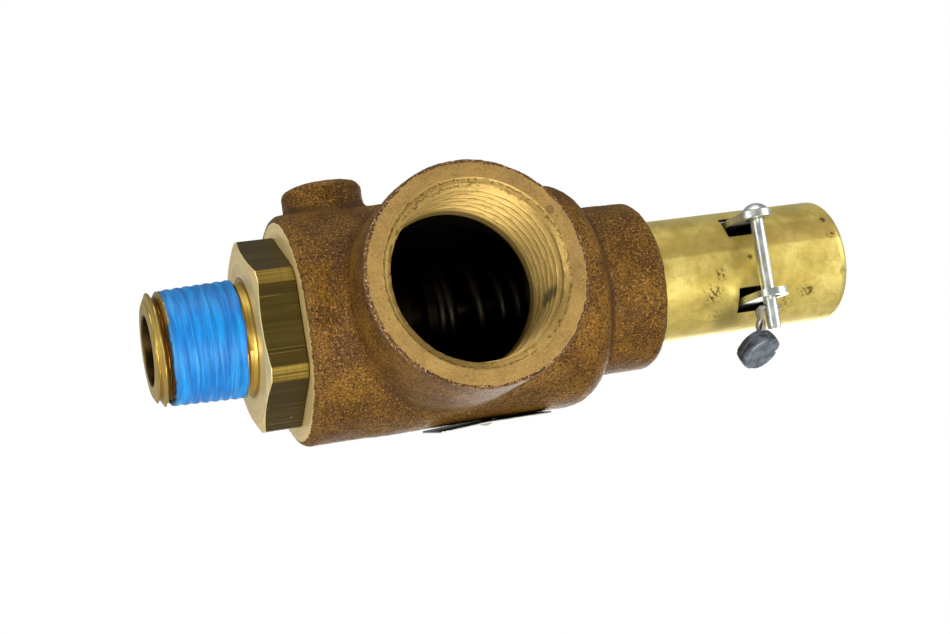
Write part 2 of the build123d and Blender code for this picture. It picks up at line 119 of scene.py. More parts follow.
class Paint:
    """Builds one node material; every texture reads the piece's own coordinates."""

    def __init__(self, name):
        self.mat = bpy.data.materials.new(name)
        self.mat.use_nodes = True
        self.tree = self.mat.node_tree
        self.bsdf = self.tree.nodes["Principled BSDF"]
        self.coord = self.node("ShaderNodeTexCoord").outputs["Object"]

    def node(self, kind, **settings):
        made = self.tree.nodes.new(kind)
        for key, value in settings.items():
            setattr(made, key, value)
        return made

    def link(self, source, target):
        self.tree.links.new(source, target)

    def put(self, value, socket):
        if isinstance(value, bpy.types.NodeSocket):
            self.link(value, socket)
        else:
            socket.default_value = value

    def stretched(self, scale, rotation=(0, 0, 0)):
        """Coordinates in which a lump of noise is scale metres long along each axis."""
        mapping = self.node("ShaderNodeMapping")
        mapping.vector_type = "TEXTURE"
        mapping.inputs["Rotation"].default_value = rotation
        mapping.inputs["Scale"].default_value = scale
        self.link(self.coord, mapping.inputs["Vector"])
        return mapping.outputs["Vector"]

    def noise(self, size, detail=3, rough=0.55, where=None, distort=0.0):
        """Noise whose lumps are about size mm."""
        n = self.node("ShaderNodeTexNoise")
        n.inputs["Scale"].default_value = 1 / (size * MM) if where is None else 1.0
        n.inputs["Detail"].default_value = detail
        n.inputs["Roughness"].default_value = rough
        n.inputs["Distortion"].default_value = distort
        self.link(self.coord if where is None else where, n.inputs["Vector"])
        return n.outputs["Fac"]

    def cells(self, size):
        """Distance from the middle of the nearest cell; cells are about size mm."""
        v = self.node("ShaderNodeTexVoronoi")
        v.inputs["Scale"].default_value = 1 / (size * MM)
        self.link(self.coord, v.inputs["Vector"])
        return v.outputs["Distance"]

    def attribute(self, name):
        return self.node("ShaderNodeAttribute", attribute_name=name).outputs["Fac"]

    def math(self, op, a, b=0.0):
        m = self.node("ShaderNodeMath", operation=op)
        self.put(a, m.inputs[0])
        self.put(b, m.inputs[1])
        return m.outputs[0]

    def both(self, a, b):
        return self.math("MULTIPLY", a, b)

    def span(self, value, low, high, to_low=0.0, to_high=1.0):
        """Goes smoothly from to_low to to_high as value goes from low to high."""
        m = self.node("ShaderNodeMapRange")
        m.interpolation_type = "SMOOTHSTEP"
        self.put(value, m.inputs["Value"])
        m.inputs["From Min"].default_value = low
        m.inputs["From Max"].default_value = high
        m.inputs["To Min"].default_value = to_low
        m.inputs["To Max"].default_value = to_high
        return m.outputs["Result"]

    def fade(self, value, low, high):
        """1 up to low, falling to 0 at high."""
        return self.span(value, low, high, 1.0, 0.0)

    def mix(self, share, a, b):
        m = self.node("ShaderNodeMix", data_type="RGBA")
        self.put(share, m.inputs[0])
        self.put(a, m.inputs[6])
        self.put(b, m.inputs[7])
        return m.outputs[2]

    def bump(self, height, distance, strength=1.0, under=None):
        b = self.node("ShaderNodeBump")
        b.inputs["Strength"].default_value = strength
        b.inputs["Distance"].default_value = distance * MM
        self.link(height, b.inputs["Height"])
        if under is not None:
            self.link(under, b.inputs["Normal"])
        return b.outputs["Normal"]

    def place(self, centre=(0, 0, 0)):
        """The three coordinates, measured from centre."""
        split = self.node("ShaderNodeSeparateXYZ")
        moved = self.node("ShaderNodeVectorMath", operation="SUBTRACT")
        self.link(self.coord, moved.inputs[0])
        moved.inputs[1].default_value = [c * MM for c in centre]
        self.link(moved.outputs[0], split.inputs[0])
        return list(split.outputs)

    def radius(self, axis=2, centre=(0, 0, 0)):
        """Distance from the line along an axis through centre."""
        across = self.place(centre)
        del across[axis]
        squared = [self.both(o, o) for o in across]
        return self.math("SQRT", self.math("ADD", squared[0], squared[1]))

    def polar(self, out_size, along_size, axis=2, centre=(0, 0, 0), turns=0.35):
        """Coordinates for tool marks that run round an axis, with no seam where the angle wraps."""
        radius = self.radius(axis, centre)
        across = self.place(centre)
        height = across.pop(axis)
        join = self.node("ShaderNodeCombineXYZ")
        for i, other in enumerate(across):
            self.link(self.both(self.math("DIVIDE", other, radius), turns), join.inputs[i])
        out = self.math("DIVIDE", radius, out_size * MM)
        up = self.math("DIVIDE", height, along_size * MM)
        self.link(self.math("ADD", out, up), join.inputs[2])
        return join.outputs[0]

    def near(self, centre, reach, soft=0.5):
        """1 near a point, falling to 0 at reach mm from the share soft of reach on."""
        moved = self.node("ShaderNodeVectorMath", operation="DISTANCE")
        self.link(self.coord, moved.inputs[0])
        moved.inputs[1].default_value = [c * MM for c in centre]
        return self.fade(moved.outputs["Value"], reach * soft * MM, reach * MM)

    def done(self, color, rough, metallic=1.0, normal=None, **sockets):
        self.put(color, self.bsdf.inputs["Base Color"])
        self.put(rough, self.bsdf.inputs["Roughness"])
        self.bsdf.inputs["Metallic"].default_value = metallic
        if normal is not None:
            self.link(normal, self.bsdf.inputs["Normal"])
        for key, value in sockets.items():
            self.bsdf.inputs[key.replace("_", " ")].default_value = value
        return self.mat


def rgb(r, g, b):
    """A screen colour, 0-255, as a linear colour."""
    def channel(v):
        v = v / 255
        return v / 12.92 if v <= 0.04045 else ((v + 0.055) / 1.055) ** 2.4
    return (channel(r), channel(g), channel(b), 1.0)


def cast_bronze():
    """Sand-cast skin: fine grain, dull sparks, painted shade in hollows and paler worn edges."""
    p = Paint("cast_bronze")
    patch = p.noise(7.0, 5, 0.65)
    grain = p.noise(0.45, 4, 0.7)
    flecks = p.cells(0.75)
    tint = p.mix(p.span(patch, 0.38, 0.66), rgb(80, 51, 5), rgb(114, 78, 15))
    dark = p.mix(p.span(grain, 0.36, 0.54), rgb(44, 27, 5), tint)
    spark = p.span(p.noise(0.34, 2, 0.6), 0.54, 0.66)
    color = p.mix(p.both(spark, 0.6), dark, rgb(172, 124, 54))
    # scale and torn grains just behind the edge of the machined outlet face
    depth = p.place()[1]
    boss = p.fade(p.radius(1, OUTLET_CENTRE), 21.0 * MM, 22.0 * MM)
    behind = p.both(p.fade(depth, -33.4 * MM, -31.2 * MM), boss)
    coarse = p.noise(0.9, 3, 0.65)
    color = p.mix(p.both(behind, p.span(coarse, 0.42, 0.56, 0.0, 0.8)), color, rgb(50, 26, 10))
    edge = p.both(behind, p.span(depth, -34.1 * MM, -33.0 * MM, 1.0, 0.35))
    scale = p.both(edge, p.span(p.noise(0.42, 2, 0.6), 0.56, 0.64, 0.0, 0.6))
    color = p.mix(scale, color, rgb(200, 168, 140))
    # painted shade: the casting turns darker brown in its concave hollows
    hollow_shade = p.attribute("hollow_shade")
    color = p.mix(p.both(hollow_shade, 0.7), color, rgb(60, 34, 12))
    ridge = p.both(p.attribute("ridge"), p.span(grain, 0.38, 0.62, 0.0, 0.42))
    color = p.mix(ridge, color, rgb(148, 114, 66))
    rough = p.span(grain, 0.3, 0.7, 0.7, 0.5)
    normal = p.bump(p.noise(0.6, 4, 0.7), 0.14, 0.8)
    normal = p.bump(flecks, 0.05, 0.5, normal)
    return p.done(color, rough, 0.25, normal, Specular_IOR_Level=0.2)


def dark_core():
    """Nearly black inside of the casting: painted shade for the dim chamber and passages."""
    p = Paint("painted_core_shade")
    grain = p.noise(0.8, 4, 0.6)
    color = p.mix(grain, rgb(2, 2, 1), rgb(8, 6, 4))
    return p.done(color, 0.9, 0.0, p.bump(grain, 0.15, 0.8), Specular_IOR_Level=0.03)


def face_cut():
    """Machined faces of the casting: fine rings, pits, faint stains."""
    p = Paint("machined_face")
    rings = p.noise(1, 2, 0.5, where=p.polar(0.16, 40, 1, OUTLET_CENTRE))
    blotch = p.noise(5.0, 4, 0.6)
    pits = p.span(p.noise(0.5, 2, 0.5), 0.66, 0.74)
    grit = p.noise(0.32, 4, 0.75)
    color = p.mix(p.span(blotch, 0.35, 0.7), rgb(138, 108, 56), rgb(156, 124, 66))
    color = p.mix(p.span(rings, 0.4, 0.65, 0.0, 0.25), color, rgb(128, 98, 50))
    color = p.mix(p.span(grit, 0.42, 0.66, 0.0, 0.55), color, rgb(180, 148, 84))
    color = p.mix(p.both(pits, 0.6), color, rgb(78, 54, 28))
    spot = p.near((-9.4, -OUTLET_FACE, 67.7), 0.95, 0.75)
    color = p.mix(p.both(spot, 0.5), color, rgb(84, 60, 28))
    rough = p.span(blotch, 0.3, 0.7, 0.48, 0.58)
    normal = p.bump(rings, 0.01, 0.4)
    normal = p.bump(grit, 0.05, 0.8, normal)
    normal = p.bump(pits, 0.06, 0.6, normal)
    return p.done(color, rough, 0.65, normal)


def thread_cut():
    """Freshly cut brass in the outlet's chamfer and thread, with painted highlights on the crests,
    painted shade in the roots and a painted dark reflection.
    """
    p = Paint("cut_thread")
    rings = p.noise(1, 3, 0.6, where=p.polar(0.3, 0.16, 1, OUTLET_CENTRE))
    torn = p.span(p.noise(0.8, 4, 0.65), 0.6, 0.72)
    color = p.mix(rings, rgb(124, 96, 42), rgb(166, 138, 72))
    color = p.mix(p.both(torn, 0.6), color, rgb(88, 60, 24))
    grit = p.noise(0.4, 4, 0.7)
    color = p.mix(p.span(grit, 0.45, 0.65, 0.0, 0.4), color, rgb(186, 158, 94))
    depth = p.math("ADD", p.place()[1], OUTLET_FACE * MM)
    level = p.math("ADD", p.radius(1, OUTLET_CENTRE), p.both(depth, PIPE_TAPER * 0.6))
    # painted highlight on the thread's crests and painted shade in its roots
    crest = p.fade(level, 15.1 * MM, 15.36 * MM)
    root = p.both(p.span(level, 15.55 * MM, 16.1 * MM), p.span(depth, 1.7 * MM, 2.1 * MM))
    color = p.mix(p.both(crest, 0.25), color, rgb(214, 180, 104))
    color = p.mix(p.both(root, 0.75), color, rgb(66, 48, 18))
    # torn metal along both edges of the chamfer
    wander = p.both(p.math("SUBTRACT", p.noise(1.3, 4, 0.65), 0.5), 1.8 * MM)
    broken = p.span(p.noise(0.9, 2, 0.5), 0.42, 0.54)
    for at in (0.25, 1.5):
        away = p.math("ABSOLUTE", p.math("SUBTRACT", p.math("ADD", depth, wander), at * MM))
        line = p.both(p.fade(away, 0.05 * MM, 0.2 * MM), broken)
        color = p.mix(p.both(line, 0.8), color, rgb(82, 56, 22))
    # a painted dark reflection that runs inwards across the thread
    blotch = (((4.1, -30.2, 67.2), 2.0), ((4.3, -27.6, 67.1), 2.2), ((4.6, -25.0, 66.9), 2.2))
    for centre, reach in blotch:
        color = p.mix(p.both(p.near(centre, reach, 0.3), 0.75), color, rgb(44, 40, 22))
    normal = p.bump(rings, 0.05, 0.7)
    normal = p.bump(torn, 0.06, 0.6, normal)
    normal = p.bump(grit, 0.04, 0.6, normal)
    return p.done(color, 0.46, 0.7, normal)


def turned_brass():
    """Brass turned on a lathe, with painted shade in the roots between the threads."""
    p = Paint("turned_brass")
    rings = p.noise(1, 3, 0.6, where=p.polar(0.14, 0.14))
    patch = p.noise(3.5, 4, 0.6)
    color = p.mix(rings, rgb(168, 140, 60), rgb(216, 192, 108))
    color = p.mix(p.span(patch, 0.5, 0.75, 0, 0.4), color, rgb(150, 110, 42))
    grooves = p.noise(1, 2, 0.5, where=p.polar(0.5, 0.42))
    color = p.mix(p.span(grooves, 0.46, 0.6, 0.0, 0.5), color, rgb(134, 94, 34))
    # painted shade in the thread's roots, past the first turn
    past_end = p.span(p.place()[2], 0.9 * MM, 1.5 * MM)
    root = p.both(p.fade(p.radius(), 9.3 * MM, 10.1 * MM), past_end)
    color = p.mix(p.both(root, 0.85), color, rgb(110, 66, 16))
    rough = p.span(patch, 0.3, 0.7, 0.34, 0.46)
    normal = p.bump(rings, 0.03, 0.6)
    normal = p.bump(grooves, 0.07, 0.6, normal)
    return p.done(color, rough, 0.9, normal)


def drawn_bar():
    """The hexagon's flats, left as drawn: dull olive with long draw lines along the axis."""
    p = Paint("drawn_bar")
    lines = p.noise(1, 2, 0.6, where=p.stretched((0.00034, 0.00034, 0.06)))
    thin = p.noise(1, 2, 0.5, where=p.stretched((0.00017, 0.00017, 0.03)))
    wide = p.noise(1, 2, 0.5, where=p.stretched((0.0016, 0.0016, 0.05)))
    bright = p.math("MAXIMUM", p.span(lines, 0.69, 0.72), p.span(thin, 0.71, 0.74, 0.0, 0.8))
    color = p.mix(p.span(wide, 0.35, 0.65), rgb(74, 60, 26), rgb(84, 70, 32))
    color = p.mix(p.span(thin, 0.34, 0.46, 0.5, 0.0), color, rgb(48, 40, 18))
    color = p.mix(p.both(bright, 0.6), color, rgb(160, 138, 72))
    nick = p.span(p.noise(0.9, 2, 0.5), 0.74, 0.8)
    color = p.mix(p.both(nick, 0.8), color, rgb(210, 184, 100))
    normal = p.bump(thin, 0.006, 0.4)
    return p.done(color, 0.46, 0.95, normal)


def corner_brass():
    """The hexagon's corners, turned down to a round: dull yellow with marks round the axis."""
    p = Paint("corner_brass")
    marks = p.noise(1, 3, 0.6, where=p.polar(3.0, 0.3))
    long = p.noise(1, 3, 0.6, where=p.stretched((0.0003, 0.0003, 0.02)))
    color = p.mix(p.span(long, 0.35, 0.65), rgb(84, 68, 22), rgb(130, 108, 42))
    color = p.mix(p.span(marks, 0.4, 0.7, 0, 0.3), color, rgb(70, 56, 20))
    return p.done(color, 0.55, 0.85, p.bump(marks, 0.02, 0.5))


def pale_turned(name, rough, metallic):
    """A pale turned face with fine rings."""
    p = Paint(name)
    rings = p.noise(1, 3, 0.6, where=p.polar(0.16, 0.3))
    cloud = p.noise(2.4, 4, 0.6)
    color = p.mix(p.span(rings, 0.35, 0.65), rgb(218, 188, 118), rgb(236, 212, 150))
    color = p.mix(p.span(cloud, 0.54, 0.74, 0, 0.4), color, rgb(180, 140, 76))
    return p.done(color, rough, metallic, p.bump(rings, 0.012, 0.5))


def cap_brass():
    """Drawn brass, clouded and specked, with scuffs, a band of painted shade along one side, a painted
    highlight along the edge beyond it, a painted window shadow and painted shade inside.
    """
    p = Paint("cap_brass")
    lines = p.noise(1, 3, 0.6, where=p.stretched((0.0004, 0.0004, 0.012)))
    cloud = p.noise(7.0, 5, 0.62)
    small = p.noise(2.2, 5, 0.65, distort=0.4)
    fine = p.noise(0.45, 3, 0.7)
    color = p.mix(p.span(cloud, 0.32, 0.68), rgb(200, 176, 88), rgb(224, 204, 118))
    color = p.mix(p.span(small, 0.42, 0.66, 0, 0.45), color, rgb(176, 150, 68))
    color = p.mix(p.span(lines, 0.5, 0.7, 0, 0.14), color, rgb(166, 142, 64))
    speck = p.both(p.span(fine, 0.62, 0.72), p.span(cloud, 0.45, 0.6))
    color = p.mix(p.both(speck, 0.3), color, rgb(120, 98, 50))
    x, _, height = p.place()
    # painted shade: a darker olive band along one side of the cap
    band = p.both(p.span(x, -7.6 * MM, -6.2 * MM), p.fade(x, -2.6 * MM, -1.9 * MM))
    color = p.mix(p.both(band, p.span(cloud, 0.3, 0.55, 0.25, 0.5)), color, rgb(150, 118, 54))
    # painted highlight: paler towards the cap's -X edge
    lit = p.span(x, -11.9 * MM, -8.6 * MM, 0.5, 0.0)
    color = p.mix(lit, color, rgb(240, 224, 142))
    lump = p.noise(1.5, 4, 0.6, distort=0.8)
    blot = p.span(lump, 0.44, 0.5)
    dashes = p.noise(1, 2, 0.5, where=p.stretched((0.0012, 0.0006, 0.00045), (0, -0.5, 0)))
    stroke = p.span(dashes, 0.51, 0.6)
    shapes = {"blot": blot, "strokes": stroke, "window_shadow": cloud}
    # scuffs, and one painted window shadow, in the same dark colour
    for centre, reach, strength, shape in SMUDGES_AND_SHADOW:
        spot = p.both(p.near(centre, reach, 0.3), shapes[shape])
        color = p.mix(p.both(spot, strength), color, rgb(*SCUFF_AND_SHADOW_COLOR))
    # painted shade: the cap's inside and the walls of its windows nearly black
    below_end = p.fade(height, 134.3 * MM, 134.5 * MM)
    inner = p.both(p.fade(p.radius(), 11.8 * MM, 12.0 * MM), below_end)
    color = p.mix(inner, color, rgb(14, 11, 6))
    rough = p.span(cloud, 0.3, 0.7, 0.38, 0.48)
    normal = p.bump(lines, 0.02, 0.4)
    normal = p.bump(fine, 0.02, 0.4, normal)
    return p.done(color, rough, 0.85, normal)


SMUDGES_AND_SHADOW = (
    # where, how far it reaches, how dark, and its shape; the soft patch at (10.0, -6.8, 110.4) is a
    # painted window shadow, the rest are scuffs
    ((2.1, -11.9, 108.6), 1.9, 0.8, "strokes"),
    ((5.6, -10.7, 106.6), 2.9, 0.8, "strokes"),
    ((7.2, -9.7, 127.5), 1.3, 0.9, "blot"),
    ((7.0, -9.9, 126.4), 2.4, 0.5, "strokes"),
    # painted shadow of a window on the cap
    ((10.0, -6.8, 110.4), 4.0, 0.9, "window_shadow"),
    ((9.3, -7.7, 107.4), 2.2, 0.5, "strokes"),
    ((-6.3, -10.3, 133.4), 0.95, 0.85, "blot"),
    ((-3.0, -11.7, 133.6), 1.2, 0.95, "blot"),
    ((-0.5, -12.1, 115.2), 0.8, 0.85, "blot"),
    ((4.4, -11.3, 135.0), 1.0, 0.6, "strokes"),
    ((8.6, -8.5, 122.7), 2.6, 0.4, "strokes"),
)


def zinc_steel(name="zinc_plate", tines=False):
    """Zinc plate; the lever's tines get painted shade where they pass through the cap's windows."""
    p = Paint(name)
    cloud = p.noise(3.4, 3, 0.5)
    fine = p.noise(0.5, 2, 0.5)
    color = p.mix(p.span(cloud, 0.3, 0.7), rgb(196, 202, 198), rgb(220, 224, 220))
    color = p.mix(p.span(p.noise(2.6, 2, 0.5), 0.5, 0.7, 0, 0.5), color, rgb(198, 188, 150))
    color = p.mix(p.span(fine, 0.66, 0.76, 0, 0.35), color, rgb(128, 132, 134))
    if tines:
        inner, outer = WINDOW_WALL
        # painted shade on the tines inside the cap's wall
        shade = p.span(p.radius(), inner * MM, outer * MM, 0.93, 0.0)
        color = p.mix(shade, color, rgb(40, 36, 26))
    rough = p.span(cloud, 0.3, 0.7, 0.33, 0.42)
    return p.done(color, rough, 1.0, p.bump(fine, 0.004, 0.4))


def steel(name, low, high, rough_low, rough_high):
    """Plain turned metal between two colours."""
    p = Paint(name)
    rings = p.noise(1, 3, 0.6, where=p.polar(0.2, 0.2))
    patch = p.noise(2.5, 4, 0.6)
    color = p.mix(patch, low, high)
    rough = p.span(patch, 0.3, 0.7, rough_low, rough_high)
    return p.done(color, rough, 1.0, p.bump(rings, 0.03, 0.6))


def lead_metal():
    """Pressed lead, darker round its rim."""
    p = Paint("pressed_lead")
    cloud = p.noise(1.6, 5, 0.65)
    fine = p.noise(0.35, 4, 0.7)
    color = p.mix(p.span(cloud, 0.3, 0.7), rgb(84, 90, 98), rgb(132, 138, 146))
    rim = p.both(p.attribute("rim"), p.span(cloud, 0.3, 0.6, 1.0, 0.7))
    color = p.mix(rim, color, rgb(44, 46, 50))
    color = p.mix(p.span(fine, 0.58, 0.74, 0, 0.5), color, rgb(48, 50, 56))
    rough = p.span(cloud, 0.3, 0.7, 0.42, 0.6)
    return p.done(color, rough, 0.7, p.bump(fine, 0.05, 0.6))


def sealant():
    """Dried blue sealant, streaked round the thread, with a painted shadow line along its first edge.
    """
    p = Paint("sealant_blue")
    streak = p.noise(1, 4, 0.65, where=p.polar(6.0, 0.3, turns=0.9))
    cloud = p.noise(1, 3, 0.55, where=p.polar(4.0, 1.5, turns=1.2))
    color = p.mix(p.span(cloud, 0.35, 0.68), rgb(2, 94, 166), rgb(10, 125, 194))
    color = p.mix(p.span(streak, 0.48, 0.72, 0, 0.55), color, rgb(70, 152, 204))
    thin = p.attribute("thin")
    color = p.mix(p.both(thin, 0.6), color, rgb(66, 112, 140))
    specks = p.span(p.noise(0.6, 3, 0.6, distort=1.2), 0.7, 0.76)
    color = p.mix(p.both(specks, 0.75), color, rgb(14, 44, 78))
    # painted shadow line along the sealant's first edge
    color = p.mix(p.attribute("lip"), color, rgb(12, 34, 40))
    normal = p.bump(streak, 0.06, 0.6)
    normal = p.bump(p.noise(0.7, 3, 0.6), 0.05, 0.4, normal)
    return p.done(color, 0.46, 0.0, normal, Specular_IOR_Level=0.26)


def plate_metal():
    """Brushed plate whose side toward the casting is painted black as shade."""
    p = Paint("plate_metal")
    lines = p.noise(1, 3, 0.6, where=p.stretched((0.0003, 0.0003, 0.01)))
    cloud = p.noise(3.0, 4, 0.6)
    color = p.mix(p.span(cloud, 0.3, 0.7), rgb(178, 176, 160), rgb(214, 212, 198))
    color = p.mix(p.span(lines, 0.5, 0.7, 0, 0.3), color, rgb(140, 136, 120))
    outward = p.node("ShaderNodeVectorMath", operation="DOT_PRODUCT")
    p.link(p.coord, outward.inputs[0])
    outward.inputs[1].default_value = (cos(PLATE_ANGLE), sin(PLATE_ANGLE), 0)
    below_bend = p.math("MAXIMUM", p.math("SUBTRACT", PLATE_BEND_HEIGHT * MM, p.place()[2]), 0.0)
    flare = p.both(below_bend, sin(PLATE_FLARE))
    depth = p.math("SUBTRACT", outward.outputs["Value"], flare)
    # painted shade: the side toward the casting turned black
    color = p.mix(p.fade(depth, 21.64 * MM, 21.7 * MM), color, rgb(12, 11, 10))
    return p.done(color, 0.35, 1.0, p.bump(lines, 0.02, 0.5))


def plastic_seat():
    p = Paint("seat_polymer")
    cloud = p.noise(1.2, 3, 0.6)
    color = p.mix(cloud, rgb(206, 202, 190), rgb(232, 230, 220))
    return p.done(color, 0.5, 0.0, p.bump(cloud, 0.02, 0.4))


# ---------------------------------------------------------------- mesh helpers

def mesh_object(name, points, faces, materials, indices=None, sharp=35.0):
    """A mesh object from points in mm; faces between which the surface turns sharply stay crisp."""
    mesh = bpy.data.meshes.new(name)
    mesh.from_pydata((np.asarray(points) * MM).tolist(), [], faces)
    for m in materials:
        mesh.materials.append(m)
    if indices is not None:
        mesh.polygons.foreach_set("material_index", np.asarray(indices, np.int32))
    bm = bmesh.new()
    bm.from_mesh(mesh)
    bmesh.ops.remove_doubles(bm, verts=bm.verts, dist=1e-7)
    bmesh.ops.dissolve_degenerate(bm, edges=bm.edges, dist=1e-7)
    bmesh.ops.recalc_face_normals(bm, faces=bm.faces)
    bm.to_mesh(mesh)
    bm.free()
    mesh.shade_smooth()
    mesh.set_sharp_from_angle(angle=radians(sharp))
    mesh.update()
    obj = bpy.data.objects.new(name, mesh)
    bpy.context.scene.collection.objects.link(obj)
    return obj


def set_attribute(mesh, name, values):
    """Gives each point of a mesh a value that its material can read."""
    mesh.attributes.new(name, "FLOAT", "POINT").data.foreach_set("value", values.astype(np.float32))


def points_of(obj):
    return np.array([v.co for v in obj.data.vertices]) / MM


def ring_faces(rows, columns, close_rows):
    """Quads of a grid whose columns go round; the rows close into a loop if asked."""
    faces = []
    last = rows if close_rows else rows - 1
    for j in range(last):
        k = (j + 1) % rows
        for i in range(columns):
            n = (i + 1) % columns
            faces.append((j * columns + i, j * columns + n, k * columns + n, k * columns + i))
    return faces


def lathe(name, rows, turn, materials, kinds, place=None, sharp=35.0):
    """A turned piece. Each row is (radius, height), a number or one value per angle, and the rows close
    into a loop; kinds picks a material for the band after each row, or for each part of that band."""
    count = len(turn)
    radius = np.array([np.broadcast_to(r, count) for r, h in rows])
    height = np.array([np.broadcast_to(h, count) for r, h in rows])
    x, y = radius * np.cos(turn), radius * np.sin(turn)
    points = np.stack([x, y, height], -1).reshape(-1, 3)
    if place is not None:
        points = place(points)
    faces = ring_faces(len(rows), count, True)
    kinds = np.asarray(kinds)
    if kinds.ndim == 1:
        kinds = np.repeat(kinds, count)
    return mesh_object(name, points, faces, materials, kinds.ravel(), sharp)


def tube(name, path, radius, materials, sides):
    """A round bar with flat ends along a path of points, its cross-section carried without twist."""
    path = np.asarray(path, float)
    tangent = np.gradient(path, axis=0)
    tangent /= np.linalg.norm(tangent, axis=1)[:, None]
    normal = np.cross(tangent[0], [0.31, 0.87, 0.38])
    normal /= np.linalg.norm(normal)
    points = []
    angles = np.arange(sides) * 2 * pi / sides
    for point, t in zip(path, tangent):
        normal = normal - t * (normal @ t)
        normal /= np.linalg.norm(normal)
        side = np.cross(t, normal)
        section = np.outer(np.cos(angles), normal) + np.outer(np.sin(angles), side)
        points.append(point + radius * section)
    points = np.concatenate(points)
    faces = ring_faces(len(path), sides, False)
    last = (len(path) - 1) * sides
    faces.append(tuple(reversed(range(sides))))
    faces.append(tuple(range(last, last + sides)))
    return mesh_object(name, points, faces, materials)


def spline(points, steps):
    """Catmull-Rom curve through points."""
    p = np.asarray(points, float)
    p = np.vstack([2 * p[0] - p[1], p, 2 * p[-1] - p[-2]])
    out = []
    for a, b, c, d in zip(p, p[1:], p[2:], p[3:]):
        for t in np.linspace(0, 1, steps, endpoint=False):
            out.append(0.5 * (2 * b + (c - a) * t + (2 * a - 5 * b + 4 * c - d) * t ** 2
                              + (3 * b - a - 3 * c + d) * t ** 3))
    out.append(p[-2])
    return np.array(out)


def circle(turn, radius):
    """Points on a circle, to sample noise at."""
    return np.stack([np.cos(turn) * radius, np.sin(turn) * radius, 0 * turn], 1)


def ridge_profile(phase, flat):
    """Height 0-1 of a 60 degree thread at a phase in turns, with small flats at crest and root."""
    tri = 1 - 2 * np.abs(phase - np.floor(phase) - 0.5)
    return np.clip((tri - flat / 2) / (1 - flat), 0, 1)


# ---------------------------------------------------------------- pieces

